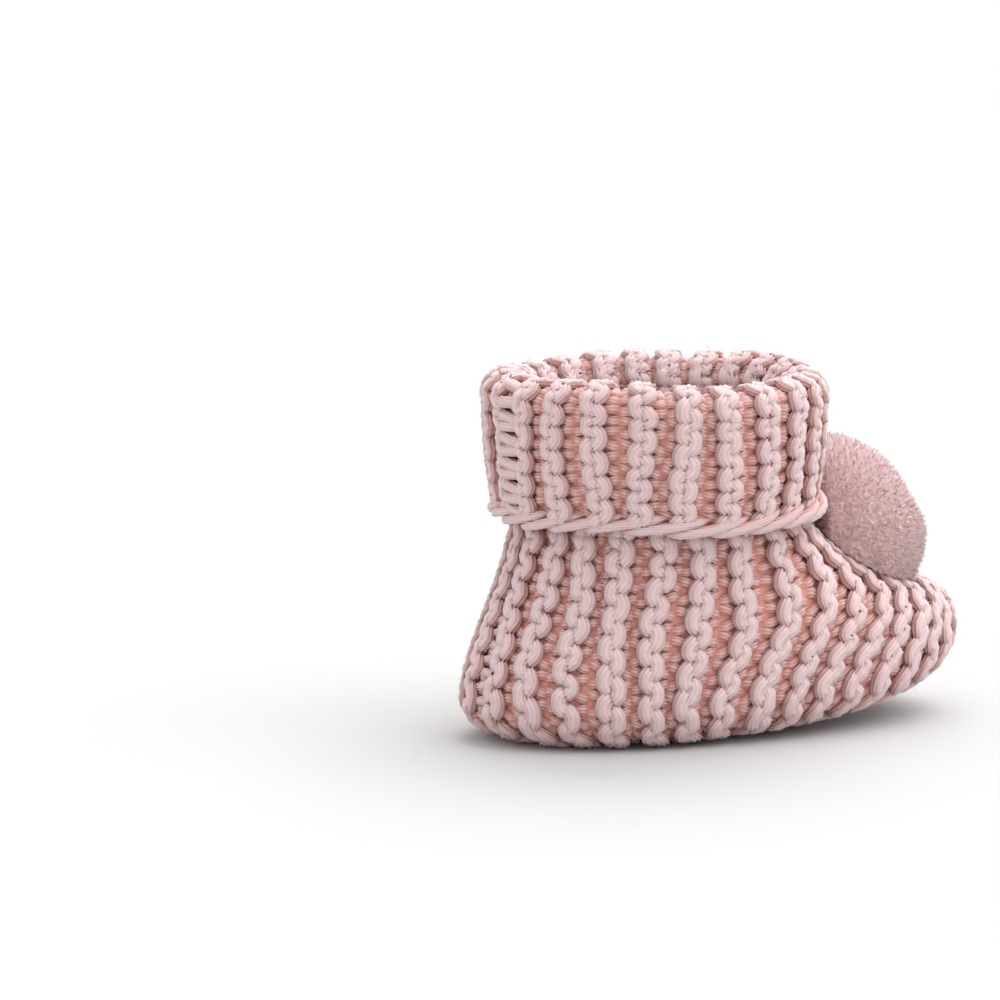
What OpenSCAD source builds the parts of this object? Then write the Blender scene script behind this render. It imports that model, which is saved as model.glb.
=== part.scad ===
// Hand-knitted baby bootie: a garter-stitch foot, an ankle wall, a turned-down cuff
// and a pom-pom tied on over the gathered toe. Millimetres, +Z up, toe towards +X.
// The origin is under the middle of the bootie, on the surface that it stands on.

/* [Foot] */
// Length from the back of the heel to the tip of the toe
foot_length = 100.2; // [97:0.2:103]
// Width across the fullest part of the foot
foot_width = 55; // [53:0.5:57]
// Distance from the back of the heel to the widest place
widest_from_heel = 48.8; // [46:0.2:51]
// Squareness of the plan outline, 2 is an ellipse
plan_squareness = 2.2; // [2:0.1:2.4]
// Height of the fullest part of the heel
heel_bulge_z = 7; // [6:0.5:8]
// Height of the fullest part of the toe
toe_bulge_z = 15.5; // [14:0.5:16.5]
// How far the edge of the sole rises at the toe
toe_lift = 9; // [7:0.5:9.5]
// Thickness of the garter-stitch fabric
fabric_t = 3.6; // [3.2:0.2:3.8]

/* [Ankle] */
// Distance from the back of the heel to the ankle's axis
ankle_from_heel = 38.2; // [37.4:0.2:38.8]
// Outer radius of the ankle wall
ankle_r = 26.4; // [26:0.2:26.8]
// Height at which the foot ends and the ankle wall starts
neck_z = 38; // [37:0.5:38.5]
// Height of the top of the ankle wall
ankle_top_z = 60; // [58:0.2:60.2]

/* [Cuff] */
// Outer radius of the cuff under its rolled rim
cuff_r = 32; // [31.8:0.2:32.6]
// Height of the cuff's lower edge, above its chain edge
cuff_hem_z = 41.2; // [40.6:0.2:43]
// Height of the middle of the rolled rim
rim_mid_z = 60.6; // [60.6:0.2:62]
// Diameter of the chain of stitches along the lower edge
chain_d = 2.8; // [2.4:0.2:3]

/* [Pom-pom] */
// Radius of the pom-pom
pompom_r = 17.2; // [16:0.2:17.6]
// Distance from the ankle's axis to the middle of the pom-pom
pompom_forward = 38.4; // [38:0.2:39]
// Height of the middle of the pom-pom
pompom_z = 33; // [32:0.2:34]
// Depth of the hollow that the tie pulls into the toe
toe_hollow = 4.5; // [3.5:0.5:5]
// Largest forward nod of the pom-pom, in degrees
nod_max = 10; // [0:1:12]

/* [Seams and threads] */
// Diameter of the seaming yarn
yarn_d = 2.4; // [2:0.2:2.6]
// Distance from the ankle's axis to the gather under the toe
sole_gather_forward = 34; // [32:0.5:36]
// Depth of the hollow at the gather under the toe
sole_hollow = 7; // [5:0.5:7.5]

/* [Hidden] */
$fn = 64;

heel_x = -foot_length / 2;
toe_x = foot_length / 2;
widest_x = heel_x + widest_from_heel;
ankle_x = heel_x + ankle_from_heel;
pompom_x = ankle_x + pompom_forward;
sole_gather_x = ankle_x + sole_gather_forward;

// Clear space between soft pieces that move past each other
soft_gap = 0.4;

// The foot's surface is rings of points, from the middle of the sole to the neck
sides = 48;
lower_rings = 5;
upper_rings = 11;
sole_shares = [0.2, 0.45, 0.65];
// The sole reaches this share of the way out to the fullest outline
sole_share = 0.82;
// The foot's body dips this far below the floor plane, and is then cut flat
sole_dip = 0.4;
// The edge of the sole starts to rise here, and its middle nearer the toe
edge_lift_x = heel_x + 23;
middle_lift_x = 8;
// The middle of the sole rises this share of the edge's rise
middle_lift_share = 0.45;
// Radius over which each hollow dies away
toe_hollow_spread = 11;
sole_hollow_spread = 9;
// The hollow in the toe only moves what is above this height, fading in over a few millimetres
toe_top_z = 15;
toe_top_fade = 3;

// The roll at the top of the cuff, between the ankle wall's inside and the cuff's outside
rim_roll_r = (cuff_r - (ankle_r - fabric_t)) / 2;
rim_mid_r = cuff_r - rim_roll_r;
hem_r = 30.2;

// The cuff's wall leans out from the hem to the rim: its radius grows by these shares of the whole
// at these shares of the height
wall_shares = [[0.25, 0.6], [0.6, 0.9]];
// The cuff's seam bends where the wall is nearly at its full radius
cuff_seam_bend = [0.45, 0.8];

// The pom-pom's lower side is a cone that clears the toe when it tips and sways.
// Its back is flat against the cuff, and slopes off where the instep rises.
sway_room = 12;
pile_underside_slope = sway_room + nod_max;
pile_back_slope = 57;
pile_back_x = ankle_x + cuff_r + soft_gap;
// The tie is drawn thin where it leaves the toe
tie_d = 3;
tie_foot_d = 0.8;
tie_foot_h = 1;
tie_h = 3;
// Room round the tie inside the pile, so that the pile can tip on it
tie_hole_r = 2.3;
tie_hole_h = 3.6;
binding_r = 3.6;
knot_r = 2;
// Radius of the ring that each gathering thread is drawn into
gather_r = 3.4;
gather_thread_d = 1.8;
// Seaming yarn stands proud of the fabric by the rest of its diameter
seam_sink = yarn_d * 0.35;
// Where the heel's seam starts and the sole's seam ends: shares of the rounded edge, and length
heel_seam_edge_shares = [0.5, 0.75];
sole_seam_from_heel = 10;

function signed_power(v, p) = sign(v) * pow(abs(v), p);
function mix(a, b, t) = a + (b - a) * t;
function smooth(t) = let (c = min(1, max(0, t))) c * c * (3 - 2 * c);
function bump(x, y, cx, spread) = exp(-(pow(x - cx, 2) + y * y) / pow(spread, 2));
function rise_from(x, start) = max(0, (x - start) / (toe_x - start));

// Angle a is 0 at the toe and 180 at the heel
function toe_weight(a) = pow(max(0, cos(a)), 1.5);
function heel_weight(a) = pow(max(0, -cos(a)), 1.5);
function by_zone(a, heel, side, toe) =
    side + (heel - side) * heel_weight(a) + (toe - side) * toe_weight(a);

function bulge_z(a) = by_zone(a, heel_bulge_z, heel_bulge_z + 2, toe_bulge_z);

// The fullest outline seen from above, drawn in by inset
function plan_point(a, inset) =
    let (
        reach = (cos(a) > 0 ? toe_x - widest_x : widest_x - heel_x) - inset,
        half_width = foot_width / 2 - inset,
        p = 2 / plan_squareness
    )
    [widest_x + reach * signed_power(cos(a), p), half_width * signed_power(sin(a), p)];

function sole_lift(x, share) =
    let (
        edge = pow(rise_from(x, edge_lift_x), 1.2) * pow(share / sole_share, 3),
        middle = pow(rise_from(x, middle_lift_x), 2)
    )
    toe_lift * mix(edge, middle, middle_lift_share);

// A point of the sole, from its middle at share 0 out to its edge at sole_share
function sole_point(a, share, inset) =
    let (
        rim = plan_point(a, inset),
        x = mix(widest_x, rim.x, share),
        y = rim.y * share,
        base = inset > 0 ? fabric_t : -sole_dip
    )
    [x, y, base + sole_lift(x, share) + sole_hollow * bump(x, y, sole_gather_x, sole_hollow_spread)];

// The rounded edge, from the sole at t = 0 up to the fullest outline at t = 1
function edge_point(a, t, inset) =
    let (
        rim = plan_point(a, inset),
        low = sole_point(a, sole_share, inset),
        out = sin(90 * t)
    )
    [mix(low.x, rim.x, out), mix(low.y, rim.y, out), mix(low.z, bulge_z(a), 1 - cos(90 * t))];

function cubic(p0, p1, p2, p3, t) =
    pow(1 - t, 3) * p0 + 3 * pow(1 - t, 2) * t * p1 + 3 * (1 - t) * t * t * p2 + pow(t, 3) * p3;

// The side or the instep, from the fullest outline at t = 0 up to the neck at t = 1
function upper_point(a, t, inset) =
    let (
        rim = plan_point(a, inset),
        neck = [ankle_x + (ankle_r - inset) * cos(a), (ankle_r - inset) * sin(a)],
        z0 = bulge_z(a),
        rise = neck_z - z0,
        toe_inset = inset * toe_weight(a),
        handle = by_zone(a, 0.22, 0.4, 0.62) * rise - 0.9 * toe_inset,
        drop = by_zone(a, 0.42, 0.4, 0.74) * rise + 0.7 * toe_inset,
        near_neck = mix(neck, rim, by_zone(a, 0.25, 0.2, 0.56)),
        p = cubic(
            [rim.x, rim.y, z0], [rim.x, rim.y, z0 + handle],
            [near_neck.x, near_neck.y, neck_z - drop], [neck.x, neck.y, neck_z], t
        ),
        fade = smooth((p.z - toe_top_z) / toe_top_fade)
    )
    [p.x, p.y, p.z - toe_hollow * fade * bump(p.x, p.y, pompom_x, toe_hollow_spread)];

// Height of the top of the toe over a place on its centre line
instep_table = [for (t = [1:-0.05:0.3]) let (p = upper_point(0, t, 0)) [p.x, p.z]];
function instep_z(x) = lookup(x, instep_table);
pivot_z = instep_z(pompom_x);

function ring_at(i, inset) =
    let (first_edge = len(sole_shares), first_upper = first_edge + lower_rings)
    [
        for (k = [0:sides - 1])
            let (a = 360 * k / sides)
            i < first_edge ? sole_point(a, sole_shares[i], inset)
            : i < first_upper ? edge_point(a, (i - first_edge) / lower_rings, inset)
            : upper_point(a, (i - first_upper) / upper_rings, inset)
    ];

// A closed body through a stack of rings, with a flat top and a point in the middle of its base
module ring_stack(rings, base_point) {
    count = len(rings);
    walls = [
        for (i = [0:count - 2], k = [0:sides - 1])
            let (next = (k + 1) % sides, b = 1 + i * sides)
            each [
                [b + k, b + sides + k, b + sides + next],
                [b + k, b + sides + next, b + next]
            ]
    ];
    base = [for (k = [0:sides - 1]) [0, 1 + k, 1 + (k + 1) % sides]];
    top = [for (k = [sides - 1:-1:0]) 1 + (count - 1) * sides + k];
    polyhedron([base_point, for (r = rings) each r], concat(walls, base, [top]));
}

module foot_body(inset) {
    ring_count = len(sole_shares) + lower_rings + upper_rings + 1;
    ring_stack([for (i = [0:ring_count - 1]) ring_at(i, inset)], sole_point(0, 0, inset));
}

// A yarn of diameter d along a path in the plane y = 0
module yarn_along(path, d) {
    yarn_sides = 8;
    last = len(path) - 1;
    points = [
        for (i = [0:last])
            let (
                run = path[min(last, i + 1)] - path[max(0, i - 1)],
                normal = [-run.z, 0, run.x] / norm(run)
            )
            for (k = [0:yarn_sides - 1])
                let (a = 360 * k / yarn_sides)
                path[i] + d / 2 * (cos(a) * normal + sin(a) * [0, 1, 0])
    ];
    walls = [
        for (i = [0:last - 1], k = [0:yarn_sides - 1])
            let (next = (k + 1) % yarn_sides, b = i * yarn_sides)
            [b + k, b + next, b + yarn_sides + next, b + yarn_sides + k]
    ];
    start_cap = [for (k = [yarn_sides - 1:-1:0]) k];
    end_cap = [for (k = [0:yarn_sides - 1]) last * yarn_sides + k];
    polyhedron(points, concat(walls, [start_cap, end_cap]));
}

module ring_of_yarn(r, d) {
    rotate_extrude()
        translate([r, 0])
            circle(d = d, $fn = 24);
}

module knit_foot() {
    floor_size = 2 * foot_length;
    color("MistyRose")
        difference() {
            foot_body(0);
            foot_body(fabric_t);
            translate([ankle_x, 0, neck_z - 1])
                cylinder(r = ankle_r - fabric_t, h = 2);
            translate([-floor_size / 2, -floor_size / 2, -floor_size])
                cube(floor_size);
        }
}

module knit_ankle() {
    color("MistyRose")
        translate([ankle_x, 0, neck_z])
            difference() {
                cylinder(r = ankle_r, h = ankle_top_z - neck_z);
                translate([0, 0, -1])
                    cylinder(r = ankle_r - fabric_t, h = ankle_top_z - neck_z + 2);
            }
}

// Half of the cuff's cut face: the hanging wall, and the roll where it turns over
module cuff_section() {
    inner_hem_r = ankle_r + soft_gap;
    inner_top_r = cuff_r - fabric_t;
    outside = [for (s = wall_shares) [mix(hem_r, cuff_r, s.y), mix(cuff_hem_z, rim_mid_z, s.x)]];
    inside = [
        for (s = wall_shares) [mix(inner_hem_r, inner_top_r, s.y), mix(cuff_hem_z, rim_mid_z, s.x)]
    ];
    polygon([
        [inner_hem_r, cuff_hem_z],
        [hem_r, cuff_hem_z],
        each outside,
        [cuff_r, rim_mid_z],
        [inner_top_r, rim_mid_z],
        inside[1],
        inside[0]
    ]);
    translate([rim_mid_r, rim_mid_z])
        difference() {
            circle(rim_roll_r);
            circle(rim_roll_r - fabric_t);
            translate([-rim_roll_r, -2 * rim_roll_r])
                square(2 * rim_roll_r);
        }
}

module knit_cuff() {
    color("LavenderBlush")
        translate([ankle_x, 0, 0])
            rotate_extrude()
                cuff_section();
}

module cuff_chain_edge() {
    color("LavenderBlush")
        translate([ankle_x, 0, cuff_hem_z - chain_d / 2])
            ring_of_yarn(hem_r - chain_d / 2, chain_d);
}

module heel_seam_yarn() {
    steps = 10;
    path = [
        for (t = heel_seam_edge_shares) edge_point(180, t, seam_sink),
        for (i = [0:steps - 1]) upper_point(180, i / steps, seam_sink)
    ];
    color("Pink") yarn_along(path, yarn_d);
}

module cuff_seam_yarn() {
    low = [ankle_x - hem_r + yarn_d / 2, 0, cuff_hem_z + yarn_d / 2];
    high = [ankle_x - cuff_r + yarn_d / 2 - seam_sink / 2, 0, rim_mid_z];
    bend = [mix(low.x, high.x, cuff_seam_bend.y), 0, mix(low.z, high.z, cuff_seam_bend.x)];
    color("Pink") yarn_along([low, bend, high], yarn_d);
}

module sole_seam_yarn() {
    steps = 8;
    start_x = heel_x + sole_seam_from_heel;
    end_x = sole_gather_x - 2 * gather_r;
    path = [
        for (i = [0:steps])
            let (x = mix(start_x, end_x, i / steps))
            [x, 0, fabric_t / 2 + sole_hollow * bump(x, 0, sole_gather_x, sole_hollow_spread)]
    ];
    color("Pink") yarn_along(path, yarn_d);
}

module instep_seam_yarn() {
    steps = 6;
    start_x = ankle_x + ankle_r + yarn_d / 2;
    end_x = pompom_x - gather_r - yarn_d;
    path = [
        for (i = [0:steps])
            let (x = mix(start_x, end_x, i / steps))
            [x, 0, instep_z(x) - yarn_d / 2]
    ];
    color("Pink") yarn_along(path, yarn_d);
}

module sole_gather_thread() {
    color("LightPink")
        translate([sole_gather_x, 0, sole_hollow - gather_thread_d / 2]) {
            ring_of_yarn(gather_r, gather_thread_d);
            sphere(r = gather_thread_d, $fn = 32);
            translate([-gather_r, 0, 0])
                rotate([0, 90, 0])
                    cylinder(d = gather_thread_d, h = gather_r);
        }
}

module toe_gather_thread() {
    color("LightPink")
        translate([pompom_x, 0, pivot_z - gather_thread_d / 2])
            ring_of_yarn(gather_r, gather_thread_d);
}

// Half of the pom-pom's round outline, cut below by the cone and round the tie
module pile_section() {
    reach = 2 * pompom_r;
    low = pivot_z + soft_gap;
    intersection() {
        translate([0, pompom_z])
            circle(pompom_r);
        polygon([
            [0, reach + low],
            [0, low + tie_hole_h],
            [tie_hole_r, low + tie_hole_h],
            [tie_hole_r, low + tie_hole_r * tan(pile_underside_slope)],
            [reach, low + reach * tan(pile_underside_slope)],
            [reach, reach + low]
        ]);
    }
}

module pompom_pile() {
    reach = 3 * pompom_r;
    color("MistyRose")
        difference() {
            translate([pompom_x, 0, 0])
                rotate_extrude()
                    pile_section();
            translate([pile_back_x - reach, -reach / 2, 0])
                cube(reach);
            translate([pompom_x, 0, pivot_z])
                rotate([0, pile_back_slope, 0])
                    translate([-reach, -reach / 2, -reach])
                        cube(reach);
        }
}

module pompom_binding() {
    color("LightPink")
        translate([pompom_x, 0, pompom_z])
            ring_of_yarn(binding_r, gather_thread_d);
}

module pompom_tie() {
    color("LightPink")
        translate([pompom_x, 0, pivot_z + soft_gap]) {
            cylinder(d1 = tie_foot_d, d2 = tie_d, h = tie_foot_h);
            translate([0, 0, tie_foot_h])
                cylinder(d = tie_d, h = tie_h - tie_foot_h);
        }
}

module tie_knot() {
    color("LightPink")
        translate([pompom_x, 0, pivot_z - fabric_t - knot_r / 2])
            sphere(knot_r, $fn = 32);
}

knit_foot();
knit_ankle();
knit_cuff();
cuff_chain_edge();
heel_seam_yarn();
cuff_seam_yarn();
sole_seam_yarn();
instep_seam_yarn();
sole_gather_thread();
toe_gather_thread();
pompom_pile();
pompom_binding();
pompom_tie();
tie_knot();
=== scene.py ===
"""Looks of the knitted baby bootie: garter-stitch yarn, chain edge, seams, pom-pom, light and camera.

Shapes are worked out in millimetres in the model's own frame (+X to the toe, +Y to the wearer's
left, +Z up) and turned into metres where a mesh is made.
"""

import math
from collections import defaultdict

import bpy
import numpy as np
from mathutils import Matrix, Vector
from mathutils.bvhtree import BVHTree


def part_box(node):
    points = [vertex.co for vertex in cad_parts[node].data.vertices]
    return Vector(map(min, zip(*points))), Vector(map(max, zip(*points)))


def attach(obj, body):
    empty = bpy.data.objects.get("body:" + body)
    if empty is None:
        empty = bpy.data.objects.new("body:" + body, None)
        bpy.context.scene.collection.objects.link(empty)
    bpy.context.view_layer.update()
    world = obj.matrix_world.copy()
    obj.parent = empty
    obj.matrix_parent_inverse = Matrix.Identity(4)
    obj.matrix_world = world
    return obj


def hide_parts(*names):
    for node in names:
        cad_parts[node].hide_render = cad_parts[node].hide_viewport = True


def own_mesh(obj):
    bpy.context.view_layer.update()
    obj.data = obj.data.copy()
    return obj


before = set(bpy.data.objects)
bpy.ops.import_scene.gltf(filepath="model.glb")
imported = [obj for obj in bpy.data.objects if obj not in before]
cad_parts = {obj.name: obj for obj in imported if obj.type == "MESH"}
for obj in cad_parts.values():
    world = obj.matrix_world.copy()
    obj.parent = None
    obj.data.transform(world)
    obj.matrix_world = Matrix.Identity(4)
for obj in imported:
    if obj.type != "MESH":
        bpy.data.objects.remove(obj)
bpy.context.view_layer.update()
MM = 0.001
TURN = 2 * math.pi
rng = np.random.default_rng(24)


# ---- sizes read from the frame


def box_mm(node):
    low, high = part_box(node)
    return np.array(low) / MM, np.array(high) / MM


foot_low, foot_high = box_mm("knit_foot")
ankle_low, ankle_high = box_mm("knit_ankle")
cuff_low, cuff_high = box_mm("knit_cuff")
pile_low, pile_high = box_mm("pompom_pile")
TIE = box_mm("pompom_tie")
KNOT = box_mm("tie_knot")
BINDING = box_mm("pompom_binding")
SOLE_GATHER = box_mm("sole_gather_thread")
TOE_GATHER = box_mm("toe_gather_thread")

FABRIC_T = 3.6
HEEL_X, TOE_X = foot_low[0], foot_high[0]
FOOT_HALF_WIDTH = foot_high[1]
NECK_Z = foot_high[2]
ANKLE_X = (ankle_low[0] + ankle_high[0]) / 2
ANKLE_R = (ankle_high[0] - ankle_low[0]) / 2
CUFF_R = (cuff_high[0] - cuff_low[0]) / 2
HEM_Z = cuff_low[2]
HEM_R = box_mm("cuff_chain_edge")[1][1]
RIM_ROLL_R = (CUFF_R - (ANKLE_R - FABRIC_T)) / 2
RIM_MID_R = CUFF_R - RIM_ROLL_R
RIM_MID_Z = cuff_high[2] - RIM_ROLL_R
PILE_R = (pile_high[1] - pile_low[1]) / 2
PILE_CENTRE = np.array([(BINDING[0][0] + BINDING[1][0]) / 2, 0.0, pile_high[2] - PILE_R])

# The foot's surface follows the same rule as the CAD solid, with these driving values
WIDEST_X = HEEL_X + 48.8
PLAN_SQUARENESS = 2.2
# How quickly the toe and the heel turn into the sides
ZONE_SHARPNESS = 1.5
# Height of the foot's widest line at the heel, the sides and the toe
BULGE_Z = (7.0, 9.0, 15.5)
# The upper is a curve with two middle points. For the heel, the sides and the toe: how far up the
# rise the first is, how far down from the neck the second is, and how far out the second stays
FIRST_UP = (0.22, 0.4, 0.62)
SECOND_DOWN = (0.42, 0.4, 0.74)
SECOND_OUT = (0.25, 0.2, 0.56)
# How much of the inset lowers each middle point over the toe
FIRST_TOE_INSET = 0.9
SECOND_TOE_INSET = 0.7
TOE_LIFT = 9.0
SOLE_SHARE = 0.82
# The sole lifts towards the toe: at its edge from one place with one power, in its middle later
EDGE_LIFT_X = HEEL_X + 23
EDGE_LIFT_POWER = 1.2
EDGE_SHARE_POWER = 3
MIDDLE_LIFT_X = 8.0
MIDDLE_LIFT_SHARE = 0.45
TOE_HOLLOW = 4.5
TOE_HOLLOW_SPREAD = 11.0
SOLE_HOLLOW = 7.0
SOLE_HOLLOW_SPREAD = 9.0
SOLE_GATHER_X = ANKLE_X + 34
TOE_TOP_Z = 15.0
TOE_TOP_FADE = 3.0

# The stitches stand this far from the middle of the fabric, which is drawn in by as much
BUMP_H = 2.25

# The knitting: ridges are counted round the foot and round the cuff, stitches along each row
FOOT_RIDGES = 34
CUFF_RIDGES = 24
SIDE_RIDGES = CUFF_RIDGES // 2
TOE_RIDGES = FOOT_RIDGES - CUFF_RIDGES
LEG_STITCHES = 14
FOOT_STITCH_W = 5.0
# The fabric was sewn up a little off centre, so its ridges are turned about the ankle
SEAM_TURN = math.radians(-8.5)


# ---- small helpers


def mix(a, b, t):
    return a + (b - a) * t


def smooth(t):
    t = np.clip(t, 0, 1)
    return t * t * (3 - 2 * t)


def signed_power(v, p):
    return np.sign(v) * np.abs(v) ** p


def unit(v):
    return v / np.maximum(np.linalg.norm(v, axis=-1, keepdims=True), 1e-9)


def bump(x, y, centre_x, spread):
    return np.exp(-((x - centre_x) ** 2 + y * y) / spread**2)


def waves(terms, a, b=0):
    """A sum of slow waves over two measures: each has a size, two rates in radians and a start."""
    return sum(size * np.sin(by_a * a + by_b * b + start) for size, by_a, by_b, start in terms)


def xyz(x, y, z):
    return np.stack([x, y, z], -1)


def link_object(name, data):
    obj = bpy.data.objects.new(name, data)
    bpy.context.scene.collection.objects.link(obj)
    return obj


def run_of(points):
    """Distance along a line of points."""
    return np.concatenate([[0], np.cumsum(np.linalg.norm(np.diff(points, axis=0), axis=1))])


# ---- the foot's surface


def nearness(a, end):
    """1 at the toe for end 1, or at the heel for end -1, and 0 from the sides on."""
    return np.maximum(0, end * np.cos(a)) ** ZONE_SHARPNESS


def by_zone(a, values):
    """A value that goes from the heel's over the side's to the toe's round the foot."""
    heel, side, toe = values
    return side + (heel - side) * nearness(a, -1) + (toe - side) * nearness(a, 1)


def plan_reach(x_sign, inset):
    return np.where(x_sign > 0, TOE_X - WIDEST_X, WIDEST_X - HEEL_X) - inset


def plan_point(a, inset):
    p = 2 / PLAN_SQUARENESS
    x = WIDEST_X + plan_reach(np.cos(a), inset) * signed_power(np.cos(a), p)
    y = (FOOT_HALF_WIDTH - inset) * signed_power(np.sin(a), p)
    return x, y


def rise_from(x, start):
    return np.maximum(0, (x - start) / (TOE_X - start))


def sole_height(x, y, inset):
    n = PLAN_SQUARENESS
    reach = plan_reach(x - WIDEST_X, inset)
    share = ((np.abs(x - WIDEST_X) / reach) ** n + (np.abs(y) / (FOOT_HALF_WIDTH - inset)) ** n) ** (1 / n)
    edge = rise_from(x, EDGE_LIFT_X) ** EDGE_LIFT_POWER * (share / SOLE_SHARE) ** EDGE_SHARE_POWER
    middle = rise_from(x, MIDDLE_LIFT_X) ** 2
    hollow = SOLE_HOLLOW * bump(x, y, SOLE_GATHER_X, SOLE_HOLLOW_SPREAD)
    return inset + TOE_LIFT * mix(edge, middle, MIDDLE_LIFT_SHARE) + hollow


def edge_points(a, t, inset):
    rim_x, rim_y = plan_point(a, inset)
    low_x, low_y = mix(WIDEST_X, rim_x, SOLE_SHARE), rim_y * SOLE_SHARE
    out = np.sin(t * math.pi / 2)
    up = 1 - np.cos(t * math.pi / 2)
    z = mix(sole_height(low_x, low_y, inset), by_zone(a, BULGE_Z), up)
    return xyz(mix(low_x, rim_x, out), mix(low_y, rim_y, out), z)


def upper_points(a, t, inset):
    rim_x, rim_y = plan_point(a, inset)
    neck_x = ANKLE_X + (ANKLE_R - inset) * np.cos(a)
    neck_y = (ANKLE_R - inset) * np.sin(a)
    z0 = by_zone(a, BULGE_Z)
    rise = NECK_Z - z0
    toe_inset = inset * nearness(a, 1)
    z1 = z0 + by_zone(a, FIRST_UP) * rise - FIRST_TOE_INSET * toe_inset
    z2 = NECK_Z - by_zone(a, SECOND_DOWN) * rise - SECOND_TOE_INSET * toe_inset
    out = by_zone(a, SECOND_OUT)
    b0, b1, b2, b3 = (1 - t) ** 3, 3 * (1 - t) ** 2 * t, 3 * (1 - t) * t * t, t**3
    x = (b0 + b1) * rim_x + b2 * mix(neck_x, rim_x, out) + b3 * neck_x
    y = (b0 + b1) * rim_y + b2 * mix(neck_y, rim_y, out) + b3 * neck_y
    z = b0 * z0 + b1 * z1 + b2 * z2 + b3 * NECK_Z
    fade = smooth((z - TOE_TOP_Z) / TOE_TOP_FADE)
    return xyz(x, y, z - TOE_HOLLOW * fade * bump(x, y, PILE_CENTRE[0], TOE_HOLLOW_SPREAD))


# ---- the strip of knitting

# The strip is addressed by u, in ridges from the back seam round the right side, the toe and the
# left side, and by l, in millimetres along a row, 0 at the neck, negative down the foot and positive
# up the ankle, over the rim and down the cuff.
U_STEP = 0.25
L_STEP = 0.5
U_PAD = 1.0
SOLE_REACH = 84
GATHER_R = 2.6
# Rows behind the toe leave the sole's seam at places that crowd towards the gather
SOLE_CROWDING = 1.8
# Rows are this much longer than drawn where a line is carried on past its end
OVERRUN = 12.0
UPPER_POINTS = 90
EDGE_POINTS = 25
SOLE_POINTS = 40
OUTLINE_POINTS = 4001
# The ridges' turn about the ankle fades in this far from the front, over this much
TURN_FROM = math.radians(45)
TURN_OVER = math.radians(60)
# The rows of the toe end this far ahead of the pom-pom's tie, and bend to there in this many ridges
GATHER_AHEAD = 2
TOE_FAN_RIDGES = 1.5
GATHER_SEARCH_POINTS = 400
# The foot's grid goes on this far past the neck
NECK_PAD = 2


def outline_angle_table():
    a = np.linspace(-math.pi, math.pi, OUTLINE_POINTS)
    x, y = plan_point(a, BUMP_H)
    run = np.concatenate([[0], np.cumsum(np.hypot(np.diff(x), np.diff(y)))])
    return run / run[-1] * FOOT_RIDGES, a


RIDGE_AT, ANGLE_AT = outline_angle_table()


def bulge_angle(u):
    turns = np.floor(u / FOOT_RIDGES)
    return np.interp(u - turns * FOOT_RIDGES, RIDGE_AT, ANGLE_AT) + TURN * turns


def neck_angle(u):
    """Where a row meets the neck: toe rows all end at the front."""
    left = u - TOE_RIDGES
    across = np.where(u <= SIDE_RIDGES, u, np.where(left >= SIDE_RIDGES, left, SIDE_RIDGES))
    phi = (across / SIDE_RIDGES - 1) * math.pi
    return phi + SEAM_TURN * smooth((np.abs(phi) - TURN_FROM) / TURN_OVER)


def toe_depth(u):
    """How many ridges a row is inside the toe fan, 0 for the rows that reach the ankle."""
    inside = np.minimum(u, FOOT_RIDGES - u) - SIDE_RIDGES
    return np.maximum(0, inside)


def gather_t():
    """How far up the upper's curve the toe's gather is."""
    t = np.linspace(0, 1, GATHER_SEARCH_POINTS)
    x = upper_points(np.zeros_like(t), t, BUMP_H)[:, 0]
    return float(t[np.argmin(np.abs(x - PILE_CENTRE[0] - GATHER_AHEAD))])


GATHER_T = gather_t()


def sole_start(u):
    """Where a row leaves the centre seam under the sole, or the gather under the toe."""
    side = min(u % FOOT_RIDGES, FOOT_RIDGES - u % FOOT_RIDGES)
    sign = -1 if u % FOOT_RIDGES < FOOT_RIDGES / 2 else 1
    heel = mix(WIDEST_X, HEEL_X + BUMP_H, SOLE_SHARE)
    if side <= SIDE_RIDGES:
        share = (side / SIDE_RIDGES) ** SOLE_CROWDING
        return mix(heel, SOLE_GATHER_X - GATHER_R, share), 0.0
    turn = math.pi * (1 - (side - SIDE_RIDGES) / (FOOT_RIDGES / 2 - SIDE_RIDGES))
    return SOLE_GATHER_X + GATHER_R * math.cos(turn), sign * GATHER_R * math.sin(turn)


def foot_row(u):
    """Points down one row from its top end to the sole's seam, and how many are above the bulge."""
    low_a, top_a = bulge_angle(u), neck_angle(u)
    top_t = mix(1, GATHER_T, smooth(toe_depth(u) / TOE_FAN_RIDGES))
    s = np.linspace(1, 0, UPPER_POINTS)
    upper = upper_points(mix(low_a, top_a, mix(s, smooth(s), 0.5)), s * top_t, BUMP_H)
    t = np.linspace(1, 0, EDGE_POINTS)[1:]
    edge = edge_points(np.full_like(t, low_a), t, BUMP_H)
    q = np.linspace(0, 1, SOLE_POINTS)[1:]
    start_x, start_y = sole_start(u)
    x, y = mix(edge[-1, 0], start_x, q), mix(edge[-1, 1], start_y, q)
    sole = xyz(x, y, sole_height(x, y, BUMP_H))
    return np.concatenate([upper, edge, sole]), len(upper)


def extended(points):
    """The same line with a straight piece added at each end."""
    first = points[0] + unit(points[0] - points[3]) * OVERRUN
    last = points[-1] + unit(points[-1] - points[-4]) * OVERRUN
    return np.concatenate([[first], points, [last]])


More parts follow.
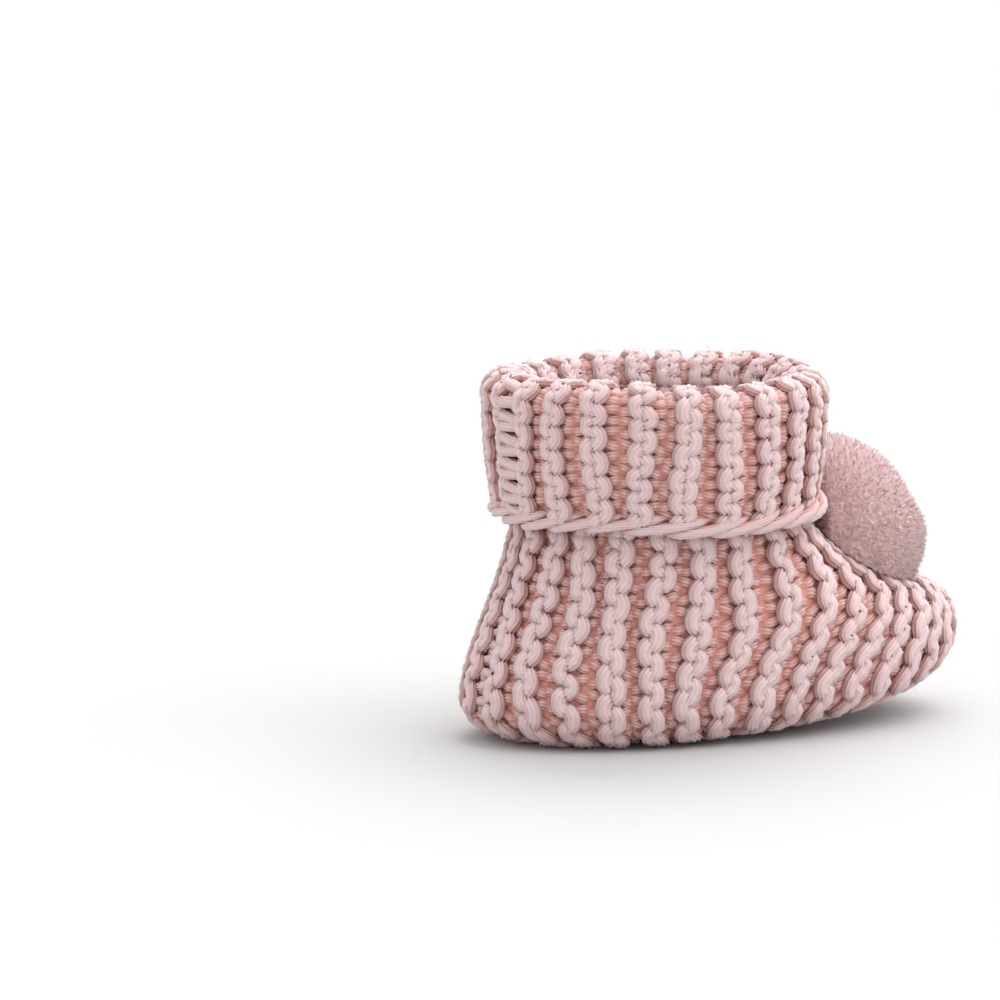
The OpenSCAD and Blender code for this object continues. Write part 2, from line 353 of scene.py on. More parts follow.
class Strip:
    """A grid of the strip's middle surface, with the outward directions and ridge pitch on it."""

    def __init__(self, u, l, points):
        self.u, self.l = u, l
        du = np.gradient(points, u, axis=0)
        dl = np.gradient(points, l, axis=1)
        pitch = np.linalg.norm(du, axis=-1, keepdims=True)
        self.grid = np.concatenate([points, unit(np.cross(du, dl)), pitch], -1)

    def sample(self, u, l):
        fu = np.clip((u - self.u[0]) / (self.u[1] - self.u[0]), 0, len(self.u) - 1.001)
        fl = np.clip((l - self.l[0]) / (self.l[1] - self.l[0]), 0, len(self.l) - 1.001)
        iu, il = fu.astype(int), fl.astype(int)
        wu, wl = (fu - iu)[..., None], (fl - il)[..., None]
        low = mix(self.grid[iu, il], self.grid[iu + 1, il], wu)
        high = mix(self.grid[iu, il + 1], self.grid[iu + 1, il + 1], wu)
        return mix(low, high, wl)


def foot_strip():
    u = np.arange(-U_PAD, FOOT_RIDGES + U_PAD + U_STEP / 2, U_STEP)
    l = np.arange(-SOLE_REACH, NECK_PAD + L_STEP / 2, L_STEP)
    points = np.zeros((len(u), len(l), 3))
    ends = np.zeros((len(u), 2))
    last_side, above = foot_row(SIDE_RIDGES)
    side_run = run_of(last_side)[above - 1]
    for i, ui in enumerate(u):
        row, above = foot_row(ui)
        run = run_of(row)
        bulge_run = run[above - 1]
        bulge_l = -bulge_run if toe_depth(ui) == 0 else -side_run
        row_l = bulge_l - (run - bulge_run)
        ends[i] = row_l[-1], row_l[0]
        line = extended(row)
        line_l = np.concatenate([[row_l[0] + OVERRUN], row_l, [row_l[-1] - OVERRUN]])
        for axis in range(3):
            points[i, :, axis] = np.interp(l, line_l[::-1], line[::-1, axis])
    return Strip(u, l, points), u, ends


# The cuff is pushed in a little beside the pom-pom
CUFF_DENT = 1.3
CUFF_DENT_AT = math.radians(-33)
CUFF_DENT_SPREAD = math.radians(40)
# The cuff's roundness and height waver, in millimetres
ROUND_WAVES = [(0.35, 3, 0, 2.0)]
SKIRT_WAVES = [(0.25, 4, 0, 0.0)]
HEIGHT_WAVES = [(0.45, 2, 0, 0.6), (0.3, 5, 0, 1.0)]
# Its hem is this much higher at one angle and this much lower on the other side
HEM_SAG = 0.7
HEM_SAG_AT = 0.4
# The skirt leans in to the hem with this power, and the rim's roll takes this share of the inset
SKIRT_POWER = 2.2
RIM_ROLL_INSET = 0.9
# The ridges' turn and the skirt's waves fade in over this length, the others over the row's length
# divided by the number after it
WAVER_OVER = 20
WAVER_PART = 2.2
RIM_POINTS = 30
SKIRT_POINTS = 20
# The leg's grid goes on this far past the neck and past the hem
LEG_PAD = 4


def hem_sag(phi):
    return HEM_SAG * np.cos(phi - HEM_SAG_AT)


def leg_profile():
    """Radius and height along a row from the neck, over the rim and down to the hem."""
    wall = np.array([[ANKLE_R - BUMP_H, NECK_Z], [ANKLE_R - BUMP_H, RIM_MID_Z]])
    turn = np.linspace(math.pi, 0, RIM_POINTS)
    roll_r = RIM_ROLL_R - BUMP_H * RIM_ROLL_INSET
    roll = np.stack([RIM_MID_R + roll_r * np.cos(turn), RIM_MID_Z + roll_r * np.sin(turn)], -1)
    share = np.linspace(0, 1, SKIRT_POINTS)[1:]
    skirt_r = mix(CUFF_R, HEM_R, share**SKIRT_POWER) - BUMP_H
    skirt = np.stack([skirt_r, mix(RIM_MID_Z, HEM_Z, share)], -1)
    return np.concatenate([wall, roll[1:], skirt])


def leg_strip():
    profile = leg_profile()
    run = run_of(profile)
    l = np.arange(-LEG_PAD, run[-1] + LEG_PAD + L_STEP / 2, L_STEP)
    v = np.arange(-U_PAD, CUFF_RIDGES + U_PAD + U_STEP / 2, U_STEP)
    r = np.interp(l, run, profile[:, 0])
    z = np.interp(l, run, profile[:, 1])
    z = np.where(l < 0, NECK_Z + l, z)
    z = np.where(l > run[-1], HEM_Z - (l - run[-1]), z)
    at_foot = neck_angle(np.where(v > SIDE_RIDGES, v + TOE_RIDGES, v))[:, None]
    at_cuff = ((v / SIDE_RIDGES - 1) * math.pi + SEAM_TURN)[:, None]
    phi = mix(at_foot, at_cuff, smooth(l / WAVER_OVER))
    up = smooth(l / run[-1] * WAVER_PART)
    down = smooth((l - RIM_MID_Z + NECK_Z) / WAVER_OVER)
    dent = CUFF_DENT * np.exp(-(((phi - CUFF_DENT_AT) / CUFF_DENT_SPREAD) ** 2))
    rr = r + up * (waves(ROUND_WAVES, phi) - dent) + down * waves(SKIRT_WAVES, phi)
    zz = z + up * waves(HEIGHT_WAVES, phi) + down * hem_sag(phi)
    points = xyz(ANKLE_X + rr * np.cos(phi), rr * np.sin(phi), zz)
    return Strip(v, l, points), run[-1]


FOOT, FOOT_U, FOOT_ENDS = foot_strip()
LEG, LEG_RUN = leg_strip()


def leg_places():
    """Where each stitch of the leg is along its row: evenly spaced on the face that is seen."""
    profile = leg_profile()
    run = run_of(profile)
    ahead = unit(np.gradient(profile, axis=0))
    seen = profile + BUMP_H * np.stack([-ahead[:, 1], ahead[:, 0]], -1)
    places = np.interp(np.linspace(0, 1, LEG_STITCHES + 1) * run_of(seen)[-1], run_of(seen), run)
    return np.concatenate([places, [2 * places[-1] - places[-2]]])


LEG_PLACES = leg_places()
# The foot's grid hands over to the leg's across this many millimetres of the neck
NECK_BLEND = 2.0


def strip_sample(u, l):
    """Middle surface, outward direction and ridge pitch anywhere on the strip."""
    on_foot = FOOT.sample(u, l)
    on_leg = LEG.sample(np.where(u > FOOT_RIDGES / 2, u - TOE_RIDGES, u), l)
    both = mix(on_foot, on_leg, smooth((l + NECK_BLEND / 2) / NECK_BLEND)[..., None])
    return both[..., :3], unit(both[..., 3:6]), both[..., 6]


def stitch_place(stitch):
    """Millimetres along a row at a stitch number, 0 at the neck."""
    on_leg = np.interp(stitch, np.arange(len(LEG_PLACES)), LEG_PLACES)
    return np.where(stitch < 0, stitch * FOOT_STITCH_W, on_leg)


# ---- yarn

PLIES = 9
# The grooves between plies are this share of the yarn's half width deep, and painted this much darker, as
# painted shade in the grooves
PLY_GROOVE = 0.34
GROOVE_SHADE = 0.58
# The sides of the yarn, where it lies against its neighbour, are painted this much darker, as painted
# shade where the yarns touch
SIDE_SHADE = 0.65
# Below 1 the yarn's section is a rounded band instead of an ellipse
SECTION_POWER = 0.8
TWIST_PITCH = 60.0
STITCH_STEPS = 20
# The yarn is a soft flat bundle, thinner in the legs between its bumps: sizes in a leg, on a bump
HALF_WIDTHS = (1.0, 1.6)
HALF_THICKS = (0.7, 0.95)
# A bump reaches this far past the middle of its ridge
RIDGE_REACH = 1.05
# Shape of a stitch: its swelling along the row as a share of its width, how long it stays on its
# bumps, and the odd powers of its wave that lift it over a bump and tuck it under beside one
LOOP_BULGE = 0.205
WAVE_SQUARENESS = 0.4
LIFT_POWERS = {1: -1.42, 3: 9.12, 5: -6.5}
# The width of a row that isn't crowded
FULL_ROW = 3.2
# In narrower rows the yarn is crowded: the least share of a full row that counts, and the shares of
# lift, width and thickness that would be left at none
LEAST_CROWD = 0.5
LEAST_LIFT = 0.55
LEAST_WIDTH = 0.35
LEAST_THICK = 0.5
# How far a bump may reach past its ridge, in rows
REACH_LIMITS = (0.26, 0.46)
# Hand knitting is uneven: ridges wander sideways, by so many rows, and stitches lean, by so many
# stitches. The waves run from row to row and along the row.
RIDGE_WANDER = [(0.11, 0.9, 0.19, 0.0), (0.077, 0.55, -0.31, 1.0)]
STITCH_LEAN = [(0.05, 0.9, 0.6, 0.0)]
# Stitches differ in swelling, place, reach, lift and width by these shares
BULGE_SPREAD = 0.18
PLACE_SPREAD = 0.035
REACH_SPREAD = 0.1
LIFT_SPREAD = 0.05
WIDTH_SPREAD = 0.05
# The heights over which the yarn's tone goes from deep to pale: painted shade, darker and redder the
# deeper the yarn lies in the fabric
TONE_FROM = 0.45
TONE_OVER = 1.9
# How fast the fibre coordinate runs along the yarn, for the streaks, and how far its start differs
FIBRE_RUN = 0.12
FIBRE_START = 7
FLOOR_CLEAR = 0.08


class MeshParts:
    """Collects vertices, faces and point attributes, then makes one object."""

    def __init__(self):
        self.vertices, self.quads, self.tone, self.fibre, self.count = [], [], [], [], 0

    def add(self, vertices, quads, tone, fibre):
        vertices[:, 2] = np.maximum(vertices[:, 2], FLOOR_CLEAR)
        self.vertices.append(vertices)
        self.quads.append(quads + self.count)
        self.tone.append(tone)
        self.fibre.append(fibre)
        self.count += len(vertices)

    def make(self, name, material):
        vertices = np.concatenate(self.vertices) * MM
        quads = np.concatenate(self.quads)
        mesh = bpy.data.meshes.new(name)
        mesh.vertices.add(len(vertices))
        mesh.vertices.foreach_set("co", vertices.astype(np.float32).ravel())
        mesh.loops.add(quads.size)
        mesh.loops.foreach_set("vertex_index", quads.astype(np.int32).ravel())
        mesh.polygons.add(len(quads))
        mesh.polygons.foreach_set("loop_start", np.arange(0, quads.size, quads.shape[1], dtype=np.int32))
        # The tone carries painted shade, with the yarn's random tone
        tone = mesh.attributes.new("tone", "FLOAT", "POINT")
        tone.data.foreach_set("value", np.concatenate(self.tone).astype(np.float32))
        fibre = mesh.attributes.new("fibre", "FLOAT_VECTOR", "POINT")
        fibre.data.foreach_set("vector", np.concatenate(self.fibre).astype(np.float32).ravel())
        mesh.update(calc_edges=True)
        mesh.validate()
        mesh.polygons.foreach_set("use_smooth", np.ones(len(mesh.polygons), bool))
        mesh.materials.append(material)
        return link_object(name, mesh)


def yarn_rings(centre, normal, half_width, half_thick, turn):
    """Rings of a soft plied yarn along a line: points, height off the line, fibre coordinates and the
    painted shade of its grooves and sides.
    """
    tangent = unit(np.gradient(centre, axis=0))
    side = unit(normal - np.sum(normal * tangent, -1, keepdims=True) * tangent)
    other = np.cross(tangent, side)
    run = run_of(centre)
    count = 2 * PLIES
    angle = np.arange(count) / count * TURN
    around = angle + (run / TWIST_PITCH * TURN + turn)[:, None]
    ridge = np.arange(count) % 2 == 0
    reach = np.where(ridge, 1.0, 1.0 - PLY_GROOVE)
    up = half_thick[:, None] * reach * signed_power(np.cos(around), SECTION_POWER)
    across = half_width[:, None] * reach * signed_power(np.sin(around), SECTION_POWER)
    points = centre[:, None] + up[..., None] * side[:, None] + across[..., None] * other[:, None]
    along = (run * FIBRE_RUN + turn * FIBRE_START)[:, None]
    fibre = xyz(*np.broadcast_arrays(np.cos(angle), np.sin(angle), along))
    groove = np.where(ridge, 0.0, GROOVE_SHADE)
    beside = 1 - np.abs(up) / np.maximum(half_thick[:, None], 1e-6)
    return points, up, fibre, groove + SIDE_SHADE * np.clip(beside, 0, 1) ** 2


def ring_quads(rings, count):
    i = np.arange(rings - 1)[:, None] * count
    k = np.arange(count)
    n = (k + 1) % count
    return np.stack([i + k, i + n, i + count + n, i + count + k], -1).reshape(-1, 4)


def ring_directions(sides, along):
    """Directions evenly round each hair and square to it, with the first one anywhere."""
    across = unit(np.cross(along, rng.normal(0, 1, along.shape)))
    other = unit(np.cross(along, across))
    a = np.arange(sides) / sides * TURN
    return np.cos(a)[:, None] * across[:, None] + np.sin(a)[:, None] * other[:, None]


def hair_quads(count, rings, sides):
    first = np.arange(count) * rings * sides
    return (ring_quads(rings, sides) + first[:, None, None]).reshape(-1, 4)


def add_rings(parts, points, tone, fibre):
    rings, count = points.shape[:2]
    flat = points.reshape(-1, 3).copy()
    parts.add(flat, ring_quads(rings, count), tone.ravel(), fibre.reshape(-1, 3))


def painted_depth_shade(height):
    """1 on the bumps of either face, 0 deep between them: painted shade for the yarn that lies deep in the
    fabric.
    """
    return smooth((np.abs(height) + TONE_FROM) / TONE_OVER)


def square_wave(c):
    """A cosine that stays longer at its ends, as the yarn stays longer on its bumps."""
    return np.tanh(WAVE_SQUARENESS * c) / math.tanh(WAVE_SQUARENESS)


def loop_lift(c):
    return sum(share * c**power for power, share in LIFT_POWERS.items())


def row_yarn(row, first, last):
    """One row's yarn from stitch first to stitch last: its rings, tone, fibre and outward direction."""
    steps = int(round((last - first) * STITCH_STEPS))
    at = first + np.arange(steps + 1) / STITCH_STEPS
    t = at * TURN
    stitch = np.arange(math.floor(first) - 1, math.ceil(last) + 2)
    wide, tall, deep, shift = (np.interp(at, stitch, u) for u in rng.normal(0, 1, (4, len(stitch))))
    bulge = LOOP_BULGE * (1 + BULGE_SPREAD * wide) * np.sin(2 * t)
    l = stitch_place(at + bulge + waves(STITCH_LEAN, row, at) + PLACE_SPREAD * shift)
    _, _, pitch = strip_sample(np.full_like(l, (row + 0.5) / 2), l)
    row_mm = pitch / 2
    reach = np.clip(RIDGE_REACH / row_mm, *REACH_LIMITS) * (1 + REACH_SPREAD * tall)
    wave = square_wave(np.cos(t))
    even = row + 0.5 - (0.5 + reach) * wave
    place = even + waves(RIDGE_WANDER, even, l)
    sign = 1 if row % 2 else -1
    crowd = np.clip(row_mm / FULL_ROW, LEAST_CROWD, 1)
    lift = sign * loop_lift(np.cos(t)) * (1 + LIFT_SPREAD * deep) * mix(LEAST_LIFT, 1, crowd)
    centre, normal, _ = strip_sample(place / 2, l)
    on_bump = wave**2
    half_width = mix(*HALF_WIDTHS, on_bump) * mix(LEAST_WIDTH, 1, crowd) * (1 + WIDTH_SPREAD * wide)
    half_thick = mix(*HALF_THICKS, on_bump) * mix(LEAST_THICK, 1, crowd)
    turn = rng.uniform(0, TURN)
    raised = centre + normal * lift[:, None]
    points, up, fibre, shade = yarn_rings(raised, normal, half_width, half_thick, turn)
    # The leg is turned over, so the face that is seen there is the strip's other one
    seen = np.where(at < 0, 1, -1)
    outward = normal * (seen * (lift * seen > 0))[:, None]
    # The tone is painted shade: yarn deep in the fabric, in its grooves and at its sides is darker
    return points, painted_depth_shade(lift[:, None] + up) - shade, fibre, outward


# Loose fibres that stand off the yarn: how many to a stitch, and their length and thickness
FUZZ_PER_STITCH = 10
FUZZ_LENGTH = 1.15
FUZZ_D = 0.06
FUZZ_SIDES = 3
FUZZ_BENDS = 3
# None grow lower than this, where the floor would press them flat
FUZZ_FROM_Z = 2.5
# They bend this way and that, and outward, by these shares of their length, and taper by another
FUZZ_BEND = 0.5
FUZZ_LIFT = 0.2
FUZZ_TAPER = 0.6
FUZZ_LENGTHS = (0.5, 1.3)


def add_fuzz(parts, points, outward, count):
    """Fine bent fibres that start on the outer side of a yarn and lean off it."""
    clear = points[:, :, 2].min(1) > FUZZ_FROM_Z
    facing = np.nonzero(clear & (np.linalg.norm(outward, axis=1) > 0))[0]
    if len(facing) == 0:
        return
    ring = rng.choice(facing, count)
    up = outward[ring]
    start = points[ring, rng.integers(0, points.shape[1], count)]
    lean = unit(up + rng.normal(0, 1, up.shape))
    bend = rng.normal(0, FUZZ_BEND, up.shape) + FUZZ_LIFT * up
    length = FUZZ_LENGTH * rng.uniform(*FUZZ_LENGTHS, (count, 1))
    s = np.linspace(0, 1, FUZZ_BENDS + 1)[:, None]
    line = start[:, None] + (length * lean)[:, None] * s + (length * bend)[:, None] * s**2
    thin = FUZZ_D / 2 * (1 - FUZZ_TAPER * s)[..., None]
    flat = (line[:, :, None] + ring_directions(FUZZ_SIDES, lean)[:, None] * thin).reshape(-1, 3)
    parts.add(flat, hair_quads(count, FUZZ_BENDS + 1, FUZZ_SIDES), np.ones(len(flat)), flat)


# A row keeps these gaps from the sole's seam and from the toe's gather
SOLE_GAP = 0.3
GATHER_GAP = 2.5
# The cuff begins at this stitch of the leg, and the yarn is cut into this many pieces round each zone
ANKLE_TOP_STITCH = 6
FOOT_PIECES = 5
LEG_PIECES = 2


def foot_ends(u):
    """Where the foot's rows end, at the sole's seam and at the top."""
    return (np.interp(u, FOOT_U, ends) for ends in FOOT_ENDS.T)


def row_limits(row):
    """First and last stitch of a row: from the sole's seam or gather up to its top end."""
    u = (row + 0.5) / 2
    low, high = foot_ends(u)
    first = math.ceil((low + SOLE_GAP) / FOOT_STITCH_W * 2) / 2
    last = math.floor((high - GATHER_GAP) / FOOT_STITCH_W * 2) / 2
    return first, LEG_STITCHES if toe_depth(u) == 0 else last


# How fast the streaks run over a sheet, and the steps of its grid
SHEET_STREAKS = 0.3
SHEET_U_STEP = 0.5
SHEET_L_STEP = 1.0
LEG_SHEET_POINTS = 30


def grid_quads(rows, columns):
    i = np.arange(rows - 1)[:, None] * columns + np.arange(columns - 1)
    return np.stack([i, i + columns, i + columns + 1, i + 1], -1).reshape(-1, 4)


def fabric_grid(strip, u, l):
    """A sheet over part of the strip; a foot row stops where the sole's seam ends it."""
    grid_u, grid_l = np.meshgrid(u, l, indexing="ij")
    if strip is FOOT:
        low, high = foot_ends(grid_u)
        grid_l = mix(low, high, (grid_l - l[0]) / (l[-1] - l[0]))
    flat = strip.sample(grid_u, grid_l)[..., :3].reshape(-1, 3)
    parts = MeshParts()
    # Tone 0 all over: the sheet takes the deep colour, as painted shade
    parts.add(flat, grid_quads(*grid_u.shape), np.zeros(len(flat)), flat * SHEET_STREAKS)
    return parts


def knit_pieces():
    """Yarn of all the rows, sorted into the pieces that ride on the foot, the ankle and the cuff."""
    sections = defaultdict(MeshParts)
    for row in range(2 * FOOT_RIDGES):
        first, last = row_limits(row)
        points, tone, fibre, outward = row_yarn(row, first, last)
        foot_part = row * FOOT_PIECES // (2 * FOOT_RIDGES)
        leg_row = row if row < FOOT_RIDGES else row - 2 * TOE_RIDGES
        leg_part = min(leg_row * LEG_PIECES // (2 * CUFF_RIDGES), LEG_PIECES - 1)
        cuts = [
            (f"foot_{foot_part}", first, min(0, last)),
            (f"ankle_{leg_part}", 0, ANKLE_TOP_STITCH),
            (f"cuff_{leg_part}", ANKLE_TOP_STITCH, LEG_STITCHES),
        ]
        for name, start, stop in cuts:
            if stop > last or stop <= start:
                continue
            a = int(round((start - first) * STITCH_STEPS))
            b = int(round((stop - first) * STITCH_STEPS)) + 1
            add_rings(sections[name], points[a:b], tone[a:b], fibre[a:b])
            zone = name.split("_")[0]
            if zone != "ankle":
                fuzz = sections[zone + "_fuzz"]
                add_fuzz(fuzz, points[a:b], outward[a:b], int(FUZZ_PER_STITCH * (stop - start)))
    return sections


def shade_backing_sheets():
    """A sheet at the middle of the fabric, behind the stitches, for each zone: it closes the gaps between
    them, and its deep colour all over is painted shade.
    """
    past = SHEET_U_STEP / 2
    foot_u = np.arange(0, FOOT_RIDGES + past, SHEET_U_STEP)
    leg_u = np.arange(0, CUFF_RIDGES + past, SHEET_U_STEP)
    wall_end = LEG_PLACES[ANKLE_TOP_STITCH]
    return {
        "foot": fabric_grid(FOOT, foot_u, np.arange(-SOLE_REACH, past, SHEET_L_STEP)),
        "ankle": fabric_grid(LEG, leg_u, np.linspace(0, wall_end, LEG_SHEET_POINTS)),
        "cuff": fabric_grid(LEG, leg_u, np.linspace(wall_end, LEG_RUN, LEG_SHEET_POINTS)),
    }


# ---- seams, edge and threads

BAR_STEPS = 14
BAR_SLANT = 0.55
# The slant sets in this far short of the middle, as a share of half the strand
BAR_SLANT_FROM = 0.4
# The ends of a strand go this far down into the fabric
BAR_TUCK = 1.9
BAR_HALF_THICK = 0.95
SEAM_POINTS = 80
INSTEP_POINTS = 60
SOLE_SEAM_FROM_HEEL = 10
# The instep's seam starts this far up the upper's curve
INSTEP_TOP_T = 0.97
# How far strands are off their even places; how soon one is full size, and its share at the ends
STRAND_SPREAD = 0.1
STRAND_FULLNESS = 2.2
STRAND_END = 0.12
# Painted shade on a strand: its tucked ends keep this share of its tone, and it is darker the lower it
# lies, from this height
STRAND_END_SHADE = 0.35
STRAND_TONE_FROM = 1.2
# The seams' sizes: spacing of the strands, half their length, half their width, rise off the fabric
BAR_SIZES = {
    "heel": (2.5, 3.4, 0.85, 0.4),
    "cuff": (2.1, 4.6, 1.15, 1.45),
    "sole": (2.5, 3.2, 0.9, 0.3),
    "instep": (2.5, 3.0, 0.9, 0.3),
}
# Where the heel's seam runs down the foot and the cuff's up from the hem, in millimetres along the
# rows, and how many ridges the cuff's is off the middle of the back
HEEL_SEAM_SPAN = (-46, -1)
CUFF_SEAM_SPAN = (-25, -1)
CUFF_SEAM_U = 0.42
# A strand of the chain edge: its start and length in ridges, how far it is inside the hem, bulges
# out, starts below the hem and climbs; its tilt; half its width and thickness, and its lift
CHAIN_POINTS = 26
CHAIN_START = -0.4
CHAIN_LENGTH = 2.0
CHAIN_INSET = 1.5
CHAIN_BULGE = 1.1
CHAIN_DROP = 1.7
CHAIN_CLIMB = 2.8
CHAIN_CLIMB_POWER = 1.25
CHAIN_FACING = -0.25
CHAIN_SIZE = (0.9, 0.95, 0.4)


def add_strand(parts, path, normal, half_width, half_thick, lift=0.0):
    """A short strand along a path, drawn thin at both ends, with painted shade at its ends and underside;
    lift makes it paler.
    """
    s = np.linspace(0, 1, len(path))
    taper = np.sqrt(np.clip(np.sin(s * math.pi) * STRAND_FULLNESS, STRAND_END, 1))
    turn = rng.uniform(0, TURN)
    points, up, fibre, shade = yarn_rings(path, normal, half_width * taper, half_thick * taper, turn)
    tone = smooth((up + lift + STRAND_TONE_FROM) / TONE_OVER) * mix(STRAND_END_SHADE, 1, taper)[:, None]
    add_rings(parts, points, tone - shade, fibre)


def between(line, run, at):
    """The point of a line at a distance along it."""
    return np.array([np.interp(at, run, line[:, axis]) for axis in range(3)])


def cross_bars(centre, normal, spacing, half_length, half_width, rise):
    """Strands laid across both faces of a seam, their ends tucked in, drawn together in pairs."""
    parts = MeshParts()
    run = run_of(centre)
    tangent = unit(np.gradient(centre, axis=0))
    s = np.linspace(-1, 1, BAR_STEPS)
    for k, at in enumerate(np.arange(spacing / 2, run[-1], spacing)):
        place, up, ahead = (between(line, run, at) for line in (centre, normal, tangent))
        across = unit(np.cross(ahead, up))
        slant = (BAR_SLANT if k % 2 else -BAR_SLANT) * smooth((s + BAR_SLANT_FROM) / (1 + BAR_SLANT_FROM))
        slant += rng.normal(0, STRAND_SPREAD)
        for face in (1, -1):
            lift = face * (rise - BAR_TUCK * s**4)
            path = place + np.outer(half_length * s, across) + np.outer(slant, ahead) + np.outer(lift, up)
            add_strand(parts, path, face * up, half_width, BAR_HALF_THICK)
    return parts


def strip_line(u, start, stop):
    """Middle line of a seam that runs along the strip's rows."""
    l = np.linspace(start, stop, SEAM_POINTS)
    centre, normal, _ = strip_sample(np.full_like(l, u), l)
    return centre, normal


def sole_line():
    x = np.linspace(HEEL_X + SOLE_SEAM_FROM_HEEL, SOLE_GATHER_X - 2 * GATHER_R, SEAM_POINTS)
    y = np.zeros_like(x)
    return xyz(x, y, sole_height(x, y, BUMP_H)), np.tile([0.0, 0.0, -1.0], (len(x), 1))


def instep_line():
    t = np.linspace(INSTEP_TOP_T, GATHER_T, INSTEP_POINTS)
    centre = upper_points(np.zeros_like(t), t, BUMP_H)
    tangent = unit(np.gradient(centre, axis=0))
    return centre, xyz(-tangent[:, 2], np.zeros_like(t), tangent[:, 0])


def chain_edge():
    """The chain of cast-on stitches: one long slanted strand for each ridge, overlapping the next."""
    parts = MeshParts()
    s = np.linspace(0, 1, CHAIN_POINTS)
    for k in range(CUFF_RIDGES):
        v = k + CHAIN_LENGTH * s + CHAIN_START
        phi = (v / SIDE_RIDGES - 1) * math.pi + SEAM_TURN
        r = HEM_R - CHAIN_INSET + CHAIN_BULGE * np.sin(s * math.pi)
        z = HEM_Z - CHAIN_DROP + CHAIN_CLIMB * s**CHAIN_CLIMB_POWER + hem_sag(phi)
        z = z + waves(HEIGHT_WAVES, phi) + rng.normal(0, STRAND_SPREAD)
        path = xyz(ANKLE_X + r * np.cos(phi), r * np.sin(phi), z)
        outward = unit(xyz(np.cos(phi), np.sin(phi), np.full_like(phi, CHAIN_FACING)))
        add_strand(parts, path, outward, *CHAIN_SIZE)
    return parts


THREAD_TONE = 0.8
THREAD_D = TOE_GATHER[1][2] - TOE_GATHER[0][2]
RING_POINTS = 60
KNOT_POINTS = 90
TIE_POINTS = 30
# The gathers are drawn in to this many folds, this deep
GATHER_FOLDS = 6
GATHER_WAVE = 0.25
# The sole's gather has a knot: its size and its yarn, in threads
GATHER_KNOT = 2.4
GATHER_KNOT_THREAD = 0.8
BINDING_TURNS = 3
TIE_TWIST = 5.0
# The two ends of the tie are this much thinner than the room they have
TIE_SLACK = 0.95
UPRIGHT = np.array([0.0, 0.0, 1.0])


def add_thread(parts, path, normal, radius):
    """An even thread along a path."""
    even = np.full(len(path), radius)
    points, _, fibre, shade = yarn_rings(path, normal, even, even, 0.0)
    add_rings(parts, points, THREAD_TONE - shade, fibre)


def ring(box, thread_d, turns=1, wave=GATHER_WAVE):
    """A thread that fills a node's box as a ring of one or more turns, lying flat."""
    parts = MeshParts()
    low, high = box
    a = np.linspace(0, TURN * turns, RING_POINTS * turns)
    middle = (low + high) / 2
    reach = (high[1] - low[1]) / 2 - thread_d / 2 + wave * np.sin(GATHER_FOLDS * a)
    climb = (np.arange(len(a)) / len(a) - 0.5) * (turns - 1) * thread_d
    path = middle + xyz(reach * np.cos(a), reach * np.sin(a), climb)
    add_thread(parts, path, UPRIGHT, thread_d / 2)
    return parts


def add_knot(parts, middle, size, thread_d):
    """An overhand knot, drawn tight: its line never leaves a ball of this size."""
    a = np.linspace(0, TURN, KNOT_POINTS)
    line = xyz(np.sin(a) + 2 * np.sin(2 * a), np.cos(a) - 2 * np.cos(2 * a), -np.sin(3 * a))
    path = middle + line / 3 * (size - thread_d) / 2
    add_thread(parts, path, UPRIGHT, thread_d / 2)


def sole_gather():
    parts = ring(SOLE_GATHER, THREAD_D)
    add_knot(parts, sum(SOLE_GATHER) / 2, GATHER_KNOT * THREAD_D, GATHER_KNOT_THREAD * THREAD_D)
    return parts


def binding():
    return ring(BINDING, THREAD_D / BINDING_TURNS, BINDING_TURNS, wave=0.0)


def tie():
    """Two ends of the tying yarn, wound round each other."""
    parts = MeshParts()
    low, high = TIE
    middle = (low + high) / 2
    z = np.linspace(low[2], high[2], TIE_POINTS)
    reach = (high[0] - low[0]) / 4
    for start in (0, math.pi):
        a = start + (z - z[0]) / TIE_TWIST * TURN
        path = xyz(middle[0] + reach * np.cos(a), middle[1] + reach * np.sin(a), z)
        add_thread(parts, path, xyz(np.cos(a), np.sin(a), 0 * a), reach * TIE_SLACK)
    return parts


def knot():
    parts = MeshParts()
    size = KNOT[1][0] - KNOT[0][0]
    add_knot(parts, sum(KNOT) / 2, size, size / 3)
    return parts


# ---- materials

# The top colours are the yarn's own; the deep colours are painted shade, redder and darker, for yarn that
# lies deep in the fabric or the pile
KNIT_TOP = (0.785, 0.635, 0.65)
KNIT_SHADED = (0.7, 0.315, 0.25)
EDGE_TOP = tuple(1.04 * c for c in KNIT_TOP)
PILE_TOP = (0.9, 0.67, 0.67)
PILE_SHADED = (0.82, 0.45, 0.41)
# Fine streaks along the yarn's fibres, how far they move its tone, and how they stand out
STREAKS = {"Scale": 4.5, "Detail": 4.0, "Roughness": 0.7}
STREAK_SHARE = 0.4
RELIEF = {"Strength": 0.5, "Distance": 0.0002}
# The tone where the colour is this share of the way from deep to top, and where top is reached
MIDDLE_AT = 0.35
MIDDLE_SHARE = 0.55
TOP_AT = 0.8
YARN_SURFACE = {
    "Roughness": 0.9,
    "Specular IOR Level": 0.2,
    "Sheen Weight": 0.1,
    "Sheen Roughness": 0.5,
    "Sheen Tint": (1.0, 0.95, 0.96, 1),
}
FLOOR_SURFACE = {"Base Color": (0.57, 0.57, 0.57, 1), "Roughness": 0.9, "Specular IOR Level": 0.1}


def set_inputs(node, values):
    for name, value in values.items():
        node.inputs[name].default_value = value


def new_material(name, surface):
    material = bpy.data.materials.new(name)
    material.use_nodes = True
    shader = material.node_tree.nodes["Principled BSDF"]
    set_inputs(shader, surface)
    return material, material.node_tree.nodes, material.node_tree.links, shader


def attribute_node(nodes, name):
    node = nodes.new("ShaderNodeAttribute")
    node.attribute_name = name
    return node


def math_node(nodes, operation, second):
    node = nodes.new("ShaderNodeMath")
    node.operation = operation
    node.inputs[1].default_value = second
    return node


